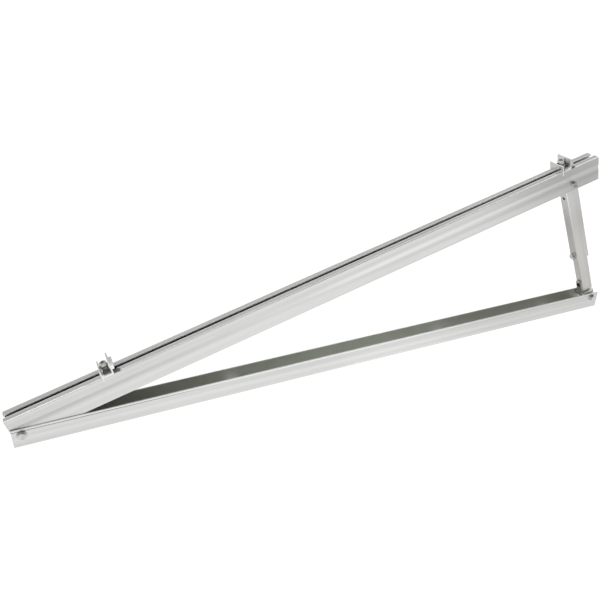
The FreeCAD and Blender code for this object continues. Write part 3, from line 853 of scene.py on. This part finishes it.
@dataclass
class TopRail:
    """The slotted rail that carries the panel.

    Attributes:
        half_width: Half of its width.
        height: Its height.
        lip: The thickness of the two lips beside the slot.
        half_slot: Half of the slot's width.
        wall: The thickness of its side walls.
        back: The distance from the hinge to the rail's low end, along the rail.
        down: The distance from the hinge to the rail's underside.
        groove: The depth of the groove in each side.
        flanks: For each edge of the grooves its packed height, and its heights outside and at the bottom.
        inside_tone_and_shade: The painted shade inside the slot and the trough, at the low end, in the middle
            and at the high end.
        changes: Where along the rail that painted shade changes from one to the next.
        edge_highlight: How bright the highlight painted on the long edges is.
        low_end_groove_shade: How much shade is painted in the grooves at the low end.
        high_end_groove_highlight: How bright the highlight painted in the grooves at the high end is.
    """

    half_width: float = 17.5 * MM
    height: float = 52.5 * MM
    lip: float = 3.0 * MM
    half_slot: float = 4.5 * MM
    wall: float = 2.0 * MM
    back: float = 15.35 * MM
    down: float = 14.67 * MM
    groove: float = 0.8 * MM
    flanks: tuple[Triple, Triple] = ((25.0 * MM, 21.5 * MM, 27.0 * MM), (33.0 * MM, 35.0 * MM, 30.0 * MM))
    inside_tone_and_shade: tuple[Colour, ...] = ((0.15, 0.15, 0.145), (0.33, 0.335, 0.32), (0.50, 0.505, 0.49))
    changes: tuple[tuple[float, float], ...] = ((0.2, 0.6), (0.7, 1.1))
    edge_highlight: float = 0.8
    low_end_groove_shade: Fade = Fade(Way.ALONG, 0.0, 0.6, 0.2, 0.0)
    high_end_groove_highlight: Fade = Fade(Way.ALONG, 0.5, 0.75, 0.0, 0.5)

    def details(self, skin: Skin) -> None:
        """Paint shade in the slot's room, the trough and faintly on the top face, paint highlights on the
        edges and the lips' inner faces, and paint shade and highlight in the side grooves.

        Args:
            skin: The rail's skin, with its places along it, across it and up from its underside.
        """
        graph, (along, across, up) = skin.graph, skin.spot
        side = abs(across)
        core = self.half_width - self.wall
        under = self.height - self.lip
        inside = graph.ramp(side, core + 0.2 * MM, core + 0.9 * MM, 1.0, 0.0)
        inside = inside * graph.between(up, 0.2 * MM, under + 0.1 * MM, 0.5 * MM)
        # Painted shade: the slot's room and the trough are darkest at the low end and lighter towards the
        # high end.
        inside_tone_and_shade = self.inside_tone_and_shade[0]
        for change, colour in zip(self.changes, self.inside_tone_and_shade[1:]):
            inside_tone_and_shade = graph.mix(graph.ramp(along, *change), inside_tone_and_shade, colour)
        skin.tint(inside, inside_tone_and_shade)
        # Painted shade: the top face is slightly darkened.
        skin.tint(0.1 * graph.ramp(up, self.height - 0.3 * MM, self.height - 0.1 * MM), PAINTED_SHADE)
        # Painted highlight on the long outer top edges, the slot's edges and the lower edges.
        for out, height, reach in ((self.half_width, self.height, 2.0 * MM),
                                   (self.half_slot, self.height, 3.5 * MM),
                                   (self.half_width, 0.0, 1.3 * MM)):
            skin.tint(self.edge_highlight * skin.near_edge(out, height, reach), WEAR_AND_HIGHLIGHT)
        # Painted highlight: the lips' inner faces at the slot are lightened and made rougher.
        inner = graph.ramp(side, self.half_slot + 0.1 * MM, self.half_slot + 0.5 * MM, 1.0, 0.0)
        inner = inner * graph.ramp(up, under + 0.6 * MM, under + 1.2 * MM)
        skin.tint(inner, WEAR_AND_HIGHLIGHT)
        # Painted shade in the side grooves towards the low end, and painted highlight in them towards the
        # high end.
        band = graph.between(up, self.flanks[0][1], self.flanks[1][1], 5.0 * MM)
        band = band * graph.ramp(side, core, core + MM)
        skin.tint(band * graph.fade(skin.spot, self.low_end_groove_shade), PAINTED_SHADE)
        skin.tint(band * graph.fade(skin.spot, self.high_end_groove_highlight), WEAR_AND_HIGHLIGHT)
        skin.roughness = skin.roughness + 0.1 * inside + 0.35 * inner

    def dress(self, shelf: Shelf) -> None:
        """Put the rail's finish on the shelf and draw the rail.

        Args:
            shelf: Where the finish goes.
        """
        shelf.add(DrawnAluminium(Finish.RAIL, light=(0.78, 0.78, 0.77), dark=(0.61, 0.61, 0.60),
                                 run=self.run(), origin=self.origin(), details=self.details))
        shelf.stand_for(self.make(), "top_rail")

    @staticmethod
    def run() -> Vector:
        """Find the direction up along the rail."""
        return Vector(joint("lower_clamp_slide")["axis"])

    @staticmethod
    def rise() -> Vector:
        """Find the direction out of the rail's top."""
        run = TopRail.run()
        return Vector((-run.z, 0.0, run.x))

    def origin(self) -> Vector:
        """Find the middle of the low end's lower edge."""
        return Vector(joint("rail_tilt")["pos_m"]) - self.back * self.run() - self.down * self.rise()

    def make(self) -> bpy.types.Object:
        """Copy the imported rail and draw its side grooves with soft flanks, as an extrusion die leaves them.

        Returns:
            The copy.
        """
        rise, origin, near = self.rise(), self.origin(), 0.05 * MM
        rail = Bench.copy("top_rail", "top_rail_drawn")
        with Bench.edit(rail) as mesh:
            for vert in mesh.verts:
                across, up = abs(vert.co.y), (vert.co - origin).dot(rise)
                for edge, outer, inner in self.flanks:
                    if abs(up - edge) < near and across > self.half_width - self.groove - near:
                        target = outer if across > self.half_width - near else inner
                        vert.co += (target - edge) * rise
            bmesh.update_edit_mesh(rail.data)
        Bench.settle(rail, Matrix.Identity(4))
        Bench.modify(rail, "WEIGHTED_NORMAL", mode="FACE_AREA", weight=100, keep_sharp=True)
        return rail


@dataclass
class Strut:
    """The telescopic strut: a sleeve over a leg, and the bracket at its foot.

    Attributes:
        shaded_span: Up to where above the foot's pivot the painted shade on the leg is darkest, and where it
            ends.
        shade_share: How dark that painted shade is at most.
        painted_highlight: Where the painted highlight on the sleeve begins, and where it is brightest.
        highlight_share: How bright that highlight is there.
        plate: Where the bracket's base plate lies above the foot's pivot, from its underside to its top.
        plate_highlight: How bright the highlight painted on that plate is.
        edge: The width of the bracket's broken edges.
    """

    shaded_span: tuple[float, float] = (57.0 * MM, 190.0 * MM)
    shade_share: float = 0.13
    painted_highlight: tuple[float, float] = (220.0 * MM, 310.0 * MM)
    highlight_share: float = 0.65
    plate: tuple[float, float] = (13.0 * MM, 18.5 * MM)
    plate_highlight: float = 0.9
    edge: float = 0.5 * MM

    def details(self, skin: Skin) -> None:
        """Paint shade on the lower end and a highlight on the upper end of the two tubes.

        Args:
            skin: The tubes' skin, with its places counted from the foot's pivot.
        """
        along = abs(skin.spot[0])
        # Painted shade: the leg darkens towards the channel.
        skin.tint(skin.graph.ramp(along, *self.shaded_span, self.shade_share, 0.0), PAINTED_SHADE)
        # Painted highlight: the sleeve lightens towards the rail.
        skin.tint(skin.graph.ramp(along, *self.painted_highlight, 0.0, self.highlight_share), WEAR_AND_HIGHLIGHT)

    def plate_details(self, skin: Skin) -> None:
        """Paint a highlight on the base plate in the bracket's skin."""
        skin.tint(self.plate_highlight * skin.graph.between(abs(skin.spot[0]), *self.plate, MM), WEAR_AND_HIGHLIGHT)

    def dress(self, shelf: Shelf) -> None:
        """Put the finishes of the two tubes and the bracket on the shelf, and make the bracket.

        Args:
            shelf: Where the finishes go.
        """
        run = Vector(joint("strut_extend")["axis"])
        foot = Vector(joint("leg_swing")["pos_m"])
        shelf.add(DrawnAluminium(Finish.STRUT, light=(0.68, 0.67, 0.65), dark=(0.53, 0.52, 0.50),
                                 run=run, origin=foot, details=self.details))
        shelf.add(PlainMetal(Finish.BRACKET, (0.46, 0.46, 0.43), (0.35, 0.35, 0.32), 0.34, metallic=0.6,
                             run=run, origin=foot, details=self.plate_details))
        bracket = Bench.copy("foot_bracket", "foot_bracket_deburred")
        shelf.stand_for(Bench.deburr(bracket, self.edge), "foot_bracket")


@dataclass
class Fastener:
    """A piece that a screw axis runs through.

    Attributes:
        node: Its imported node.
        head: The direction in which its head or its upper end points.
    """

    node: str
    head: Vector

    def seat(self) -> tuple[Matrix, float, float]:
        """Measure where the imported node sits.

        Returns:
            The placement whose +Z points out of the head, and the heights of the tail and of the head's top.
        """
        third = self.head.normalized()
        second = Y_WAY if abs(third.y) < 0.5 else Z_WAY
        first = second.cross(third).normalized()
        points = [vert.co for vert in frame["nodes"][self.node].data.vertices]
        middle = [(max(p.dot(axis) for p in points) + min(p.dot(axis) for p in points)) / 2.0
                  for axis in (first, second)]
        centre = first * middle[0] + second * middle[1]
        heights = [p.dot(third) for p in points]
        turn = Matrix((first, second, third)).transposed().to_4x4()
        return Matrix.Translation(centre) @ turn, min(heights), max(heights)


@dataclass
class Threaded(Fastener):
    """A fastener with a metric thread at its tail.

    Attributes:
        radius: The radius of its shank.
        pitch: The pitch of its thread.
        crest_play: How far the crest stays inside the shank's radius.
        root: The depth of the thread under the crest, as a share of the pitch.
        point: The depth of the cone at its tip, as a share of the pitch.
        steps: How many steps a turn of the thread is made in.
        tip_sides: How many sides the cone at its tip has.
    """

    radius: float = 4.0 * MM
    pitch: float = 1.25 * MM
    crest_play: float = 0.04 * MM
    root: float = 0.6
    point: float = 0.65
    steps: int = 24
    tip_sides: int = 48

    def thread(self, tail: float, end: float, sunk: float = 0.0) -> bpy.types.Object:
        """Wind the threaded rod, with a cone at its tip.

        Args:
            tail: The height of the rod's lower end.
            end: The height at which the thread ends.
            sunk: How far the rod runs on from there.

        Returns:
            The rod, closed at both ends.
        """
        top = end + sunk
        crest = self.radius - self.crest_play
        root = crest - self.root * self.pitch
        profile = ((root, 0.0), (crest, 0.44), (crest, 0.56), (root, 1.0))
        rod = Bench.add("thread", bpy.ops.mesh.primitive_plane_add, size=self.pitch)
        with Bench.edit(rod, whole=True):
            bpy.ops.mesh.delete(type="ONLY_FACE")
        with Bench.edit(rod) as mesh:
            for edge in mesh.edges:
                edge.select_set(all(vert.co.x < 0.0 for vert in edge.verts))
            bpy.ops.mesh.delete(type="EDGE")
        with Bench.edit(rod) as mesh:
            chain = [next(vert for vert in mesh.verts if len(vert.link_edges) == 1)]
            while len(chain) < len(profile):
                ahead = [edge.other_vert(chain[-1]) for edge in chain[-1].link_edges]
                chain.append(next(vert for vert in ahead if vert not in chain))
            for vert, (radius, share) in zip(chain, profile):
                vert.co = (radius, 0.0, tail - self.pitch + share * self.pitch)
            bmesh.update_edit_mesh(rod.data)
        turns = math.ceil((top - tail) / self.pitch) + 2
        Bench.modify(rod, "SCREW", axis="Z", screw_offset=self.pitch, iterations=turns, steps=self.steps,
                     render_steps=self.steps)
        with Bench.edit(rod, whole=True):
            bpy.ops.mesh.remove_doubles(threshold=MERGE)
            bpy.ops.mesh.normals_make_consistent(inside=False)
        for height, side in ((tail, {"clear_inner": True}), (top, {"clear_outer": True})):
            with Bench.edit(rod, whole=True):
                bpy.ops.mesh.bisect(plane_co=(0.0, 0.0, height), plane_no=Z_WAY, use_fill=True, **side)
        tip = self.radius - self.point * self.pitch
        reach = end + self.pitch - tail
        cone = Bench.cylinder("end", tip, tail, tail + reach, self.tip_sides, tip + reach)
        Bench.carve(rod, cone, "INTERSECT")
        return rod


@dataclass
class HexagonBolt(Threaded):
    """A bolt with a hexagon head and a thread at its tail.

    Attributes:
        flats: The head's width across flats.
        head_height: The height of its head.
        head_edge: The width of the head's broken edges.
        chamfer: The radius of the round face on the head, as a share of the width across flats.
        threaded: The length of its thread.
        shank_play: How far the plain shank stays inside the shank's radius.
        head_sides: How many sides the head's chamfer has.
        shank_sides: How many sides the plain shank has.
    """

    flats: float = 13.0 * MM
    head_height: float = 5.3 * MM
    head_edge: float = 0.12 * MM
    chamfer: float = 0.49
    threaded: float = 20.0 * MM
    shank_play: float = 0.02 * MM
    head_sides: int = 64
    shank_sides: int = 40

    def make(self) -> bpy.types.Object:
        """Model the bolt in its place.

        Returns:
            The bolt.
        """
        place, tail, top = self.seat()
        seat = top - self.head_height
        head = Bench.cylinder(self.node + "_threaded", self.flats / math.sqrt(3.0), seat, top, 6)
        face = self.chamfer * self.flats
        flare = (top - seat) * math.sqrt(3.0)
        Bench.carve(head, Bench.cylinder("cone", face + flare, seat, top, self.head_sides, face), "INTERSECT")
        Bench.modify(head, "BEVEL", width=self.head_edge, segments=2, limit_method="ANGLE",
                     angle_limit=math.radians(25.0))
        plain = min(tail + self.threaded, seat)
        shank = Bench.cylinder("shank", self.radius - self.shank_play, plain - 0.5 * self.pitch,
                               seat + 0.5 * MM, self.shank_sides)
        return Bench.settle(Bench.join(head, shank, self.thread(tail, plain)), place)


@dataclass
class SocketScrew(Threaded):
    """A cap screw with a knurled round head, a hexagon socket and a thread up to the head.

    Attributes:
        head_radius: The radius of its head.
        head_height: The height of its head.
        key: The socket's width across flats.
        key_depth: The depth of the socket.
        ridges: How many ridges the head's knurl has.
        knurl: The depth of the knurl.
        edge: The width of the head's turned upper edge.
    """

    head_radius: float = 6.5 * MM
    head_height: float = 8.0 * MM
    key: float = 6.0 * MM
    key_depth: float = 4.0 * MM
    ridges: int = 40
    knurl: float = 0.22 * MM
    edge: float = 0.7 * MM

    def shrink(self, depth: float) -> None:
        """Draw the selected ring of the head inwards by a depth."""
        share = 1.0 - depth / self.head_radius
        bpy.ops.transform.resize(value=(share, share, 1.0), center_override=(0.0, 0.0, 0.0))

    def make(self) -> bpy.types.Object:
        """Model the screw in its place.

        Returns:
            The screw.
        """
        place, tail, top = self.seat()
        seat = top - self.head_height
        head = Bench.cylinder(self.node + "_threaded", self.head_radius, seat, top - self.edge,
                              2 * self.ridges)
        with Bench.edit(head) as mesh:
            for vert in mesh.verts:
                step = math.atan2(vert.co.y, vert.co.x) * self.ridges / math.pi
                vert.select_set(round(step) % 2 == 1)
            self.shrink(self.knurl)
        with Bench.edit(head) as mesh:
            for face in mesh.faces:
                face.select_set(face.normal.z > 0.9)
            bpy.ops.mesh.inset(thickness=self.knurl)
            bpy.ops.mesh.extrude_region_move(TRANSFORM_OT_translate={"value": (0.0, 0.0, self.edge)})
            self.shrink(self.edge)
        corner = self.key / math.sqrt(3.0)
        key = Bench.cylinder("key", corner, top - self.key_depth, top + self.edge, 6)
        Bench.carve(head, key, "DIFFERENCE")
        return Bench.settle(Bench.join(head, self.thread(tail, seat, 0.2 * self.pitch)), place)


@dataclass
class Coil(Fastener):
    """A compression spring of round wire.

    Attributes:
        wire: The wire's diameter.
        radius: The radius of the coil at the middle of the wire.
        turns: How many turns it has.
    """

    wire: float = 1.4 * MM
    radius: float = 5.5 * MM
    turns: float = 3.5

    def make(self) -> bpy.types.Object:
        """Model the spring in its place.

        Returns:
            The spring.
        """
        place, low, high = self.seat()
        spring = Bench.add(self.node + "_round", bpy.ops.mesh.primitive_circle_add, vertices=12,
                           radius=self.wire / 2.0, location=(self.radius, 0.0, low + self.wire / 2.0),
                           rotation=(math.radians(90.0), 0.0, 0.0))
        steps = round(32 * self.turns)
        Bench.modify(spring, "SCREW", axis="Z", angle=math.tau * self.turns, iterations=1,
                     screw_offset=high - low - self.wire, steps=steps, render_steps=steps)
        with Bench.edit(spring, whole=True):
            bpy.ops.mesh.remove_doubles(threshold=MERGE)
            bpy.ops.mesh.fill_holes(sides=0)
        return Bench.settle(spring, place, 50.0)


@dataclass
class Pivots:
    """The bolts, nuts, washers and spacers of the hinge, the strut's two ends and the adjuster.

    Attributes:
        black: How far along the channel the dark steel keeps its black skin, which the clamps have lost.
        oxide: The black skin.
        adjuster_thread: The length of the adjusting bolt's thread.
    """

    black: float = 600.0 * MM
    oxide: Colour = (0.03, 0.029, 0.027)
    adjuster_thread: float = 14.0 * MM

    def blacken(self, skin: Skin) -> None:
        """Blacken the dark steel on the screw of the bracket at the foot.

        Args:
            skin: The dark steel's skin.
        """
        share = skin.graph.ramp(skin.spot[0], self.black, self.black + MM)
        skin.tint(share, self.oxide)
        skin.roughness = skin.roughness + 0.2 * share

    def dress(self, shelf: Shelf) -> None:
        """Put the fasteners' finishes on the shelf and make the bolts.

        Args:
            shelf: Where the finishes go.
        """
        shelf.add(PlainMetal(Finish.BOLT, (0.71, 0.70, 0.68), (0.52, 0.51, 0.49), 0.13))
        shelf.add(PlainMetal(Finish.TURNED, (0.70, 0.70, 0.69), (0.55, 0.55, 0.54), 0.4))
        shelf.add(PlainMetal(Finish.OXIDE, (0.44, 0.43, 0.41), (0.14, 0.135, 0.13), 0.2,
                             details=self.blacken))
        along = Vector(joint("strut_extend")["axis"])
        out = Vector((-abs(along.z), 0.0, math.copysign(along.x, along.x * along.z)))
        bolts = [HexagonBolt(name + "_bolt", -Y_WAY) for name in ("hinge", "strut", "foot")]
        for bolt in (*bolts, HexagonBolt("adjuster_bolt", out, threaded=self.adjuster_thread)):
            shelf.stand_for(bolt.make(), bolt.node)


@dataclass
class Clamps:
    """The two module clamps, with their screws, springs and clips.

    Attributes:
        wall: The distance from the clamp's middle to the outside of its tall wall.
        gap: The distance from there to the clip, as packed.
        closer: How much nearer the clip's upright stands.
        arm: The width of the clip's upright and of its arm across the rail.
        shorter: How much shorter the clip's pad is.
        edge: The width of the clamp's broken edges.
        clip_edge: The width of the clip's.
    """

    wall: float = 11.35 * MM
    gap: float = 2.1 * MM
    closer: float = 1.5 * MM
    arm: float = 3.5 * MM
    shorter: float = 3.5 * MM
    edge: float = 0.25 * MM
    clip_edge: float = 0.2 * MM

    def clip(self, side: str, run: Vector) -> bpy.types.Object:
        """Copy a clip, nearer to its clamp and with its pad trimmed.

        Args:
            side: Which clamp it belongs to.
            run: The direction of the rail.

        Returns:
            The clip.
        """
        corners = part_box(side + "_clamp_screw")
        middle = ((corners[0] + corners[1]) / 2.0).dot(run)
        piece = Bench.copy(side + "_nut_clip", side + "_nut_clip_deburred")
        start = self.wall + self.gap - 0.1 * MM
        pad = self.wall + self.gap + self.arm + 0.1 * MM
        with Bench.edit(piece) as mesh:
            for vert in mesh.verts:
                along = vert.co.dot(run) - middle
                if along > pad:
                    vert.co -= (self.closer + self.shorter) * run
                elif along > start:
                    vert.co -= self.closer * run
            bmesh.update_edit_mesh(piece.data)
        return Bench.deburr(piece, self.clip_edge)

    def dress(self, shelf: Shelf) -> None:
        """Put the clamps' finishes on the shelf, and make their bodies, screws, springs and clips.

        Args:
            shelf: Where the finishes go.
        """
        run, up = TopRail.run(), TopRail.rise()
        shelf.add(DrawnAluminium(Finish.CLAMP, light=(0.92, 0.92, 0.90), dark=(0.80, 0.80, 0.78),
                                 roughness=0.3, run=Y_WAY))
        shelf.add(Moulding())
        for side in ("lower", "upper"):
            clamp = side + "_clamp"
            shelf.stand_for(self.clip(side, run), side + "_nut_clip")
            shelf.stand_for(Bench.deburr(Bench.copy(clamp, clamp + "_deburred"), self.edge), clamp)
            for fastener in (SocketScrew(clamp + "_screw", up), Coil(clamp + "_spring", up)):
                shelf.stand_for(fastener.make(), fastener.node)


@dataclass(frozen=True)
class Lamp:
    """A soft square lamp that points at the middle of the frame.

    Attributes:
        name: Its name.
        spot: Where it hangs.
        size: The length of its sides.
        power: Its power in watts.
        aim: The middle of the frame.
    """

    name: str
    spot: Triple
    size: float
    power: float
    aim: Triple = (0.0, 0.0, 0.15)

    def hang(self) -> None:
        """Hang the lamp."""
        data = bpy.data.lights.new(self.name, "AREA")
        data.size = self.size
        data.energy = self.power
        lamp = bpy.data.objects.new(self.name, data)
        lamp.location = self.spot
        lamp.rotation_euler = (Vector(self.aim) - Vector(self.spot)).to_track_quat("-Z", "Y").to_euler()
        bpy.context.scene.collection.objects.link(lamp)


@dataclass
class Studio:
    """The floor, the soft lights and the camera.

    Attributes:
        eye: Where the camera stands.
        heading: How far the camera looks to the right of +Y, in degrees.
        dip: How far it looks down, in degrees.
        lens: Its focal length, in millimetres on a sensor of the next width.
        sensor: The width of that sensor, in millimetres.
        lamps: The soft lamps.
        floor_size: The length of the floor's sides.
        floor_drop: How far the floor lies under the channel.
        paper: The floor's colour, which takes the shadow.
        shown: How much of what the eye, gloss and glass see of the floor is its own light.
        glow: How the floor's light changes from place to place.
        level: The floor's light at most, and how much of it the darker part on the right takes away.
        right: Where that part is.
        sky: How the light of the surroundings changes with the direction.
        front: Where the surroundings are dimmer behind the camera.
        front_dim: How much dimmer they are there.
        white: The least light of the floor and of the surroundings to the camera's eye.
    """

    eye: Vector = Vector((-0.5658, -1.0654, 0.7962))
    heading: float = 23.11
    dip: float = 28.35
    lens: float = 40.15
    sensor: float = 36.0
    lamps: tuple[Lamp, ...] = (Lamp("left", (-1.9, -0.4, 2.0), 1.6, 18.0),
                               Lamp("right", (1.9, -0.2, 1.9), 1.6, 12.0),
                               Lamp("above", (0.1, 0.7, 2.6), 3.0, 24.0))
    floor_size: float = 60.0
    floor_drop: float = 0.4 * MM
    paper: Colour = (0.9, 0.9, 0.9)
    shown: float = 0.85
    glow: tuple[Fade, ...] = (Fade(Way.ALONG, -0.75, -0.3, 0.93, 1.0),
                              Fade(Way.ACROSS, -0.45, -0.1, 1.07, 0.97),
                              Fade(Way.ACROSS, 0.02, 0.14, 1.0, 0.68),
                              Fade(Way.ACROSS, 0.12, 0.22, 1.0, 0.84))
    level: tuple[float, float] = (1.1, 0.71)
    right: tuple[Fade, ...] = (Fade(Way.ALONG, 0.85, 1.15), Fade(Way.ACROSS, -0.55, -0.4, 1.0, 0.6),
                               Fade(Way.ALONG, 1.42, 1.66, 1.0, 0.68))
    sky: tuple[Fade, ...] = (Fade(Way.UP, 0.02, 0.36, 1.0, 0.58), Fade(Way.UP, 0.6, 1.0, 1.0, 0.65),
                             Fade(Way.ALONG, -0.35, 0.1, 1.2, 0.88))
    front: tuple[Fade, ...] = (Fade(Way.ACROSS, -0.8, -0.1, 1.0, 0.0), Fade(Way.UP, 0.12, 0.45))
    front_dim: float = 0.5
    white: tuple[float, float] = (1.15, 1.3)

    def make(self) -> None:
        """Make the stage."""
        self.camera()
        self.floor()
        self.world()
        for lamp in self.lamps:
            lamp.hang()

    def camera(self) -> None:
        """Stand the camera where the photograph was taken from."""
        data = bpy.data.cameras.new("camera")
        data.lens = self.lens
        data.sensor_width = self.sensor
        camera = bpy.data.objects.new("camera", data)
        camera.location = self.eye
        camera.rotation_euler = (math.radians(90.0 - self.dip), 0.0, math.radians(-self.heading))
        bpy.context.scene.collection.objects.link(camera)
        bpy.context.scene.camera = camera

    def floor(self) -> None:
        """Lay a white floor that keeps a soft shadow."""
        plane = Bench.add("floor", bpy.ops.mesh.primitive_plane_add, size=self.floor_size,
                          location=(0.0, 0.0, -self.floor_drop))
        material = bpy.data.materials.new("floor")
        graph = Graph(material)
        spot = graph.place()
        paper = graph.shader(self.paper, 1.0, 0.0)
        level = (self.level[0] - self.level[1] * graph.fade(spot, *self.right)) * graph.fade(spot, *self.glow)
        level = graph.math("MAXIMUM", level, self.white[0] * graph.rays("Camera"))
        white = graph.node("ShaderNodeEmission", Strength=level)
        share = self.shown * graph.rays("Camera", "Glossy", "Transmission")
        blend = graph.node("ShaderNodeMixShader", _0=share, _1=paper, _2=Sock(graph, white.outputs[0]))
        graph.node("ShaderNodeOutputMaterial", Surface=Sock(graph, blend.outputs[0]))
        plane.data.materials.append(material)

    def world(self) -> None:
        """Surround the stage with white at the horizon and a dimmer ceiling, dimmest behind the camera."""
        world = bpy.data.worlds.new("studio")
        bpy.context.scene.world = world
        graph = Graph(world)
        way = graph.split(graph.node("ShaderNodeTexCoord").outputs["Generated"])
        level = graph.fade(way, *self.sky) * (1.0 - self.front_dim * graph.fade(way, *self.front))
        level = graph.math("MAXIMUM", level, self.white[1] * graph.rays("Camera"))
        sky = graph.node("ShaderNodeBackground", Strength=level)
        graph.node("ShaderNodeOutputWorld", Surface=Sock(graph, sky.outputs[0]))


def main() -> None:
    """Build the looks and the stage."""
    logging.basicConfig(level=logging.INFO, format="%(message)s")
    bpy.context.scene.view_settings.view_transform = "Standard"
    shelf = Shelf()
    for part in (BaseChannel(), TopRail(), Strut(), Pivots(), Clamps()):
        part.dress(shelf)
        log.info("%s is dressed", type(part).__name__)
    for name, node in frame["nodes"].items():
        if not node.hide_render:
            shelf.clad(node, name)
    Studio().make()


if __name__ == "__main__":
    main()
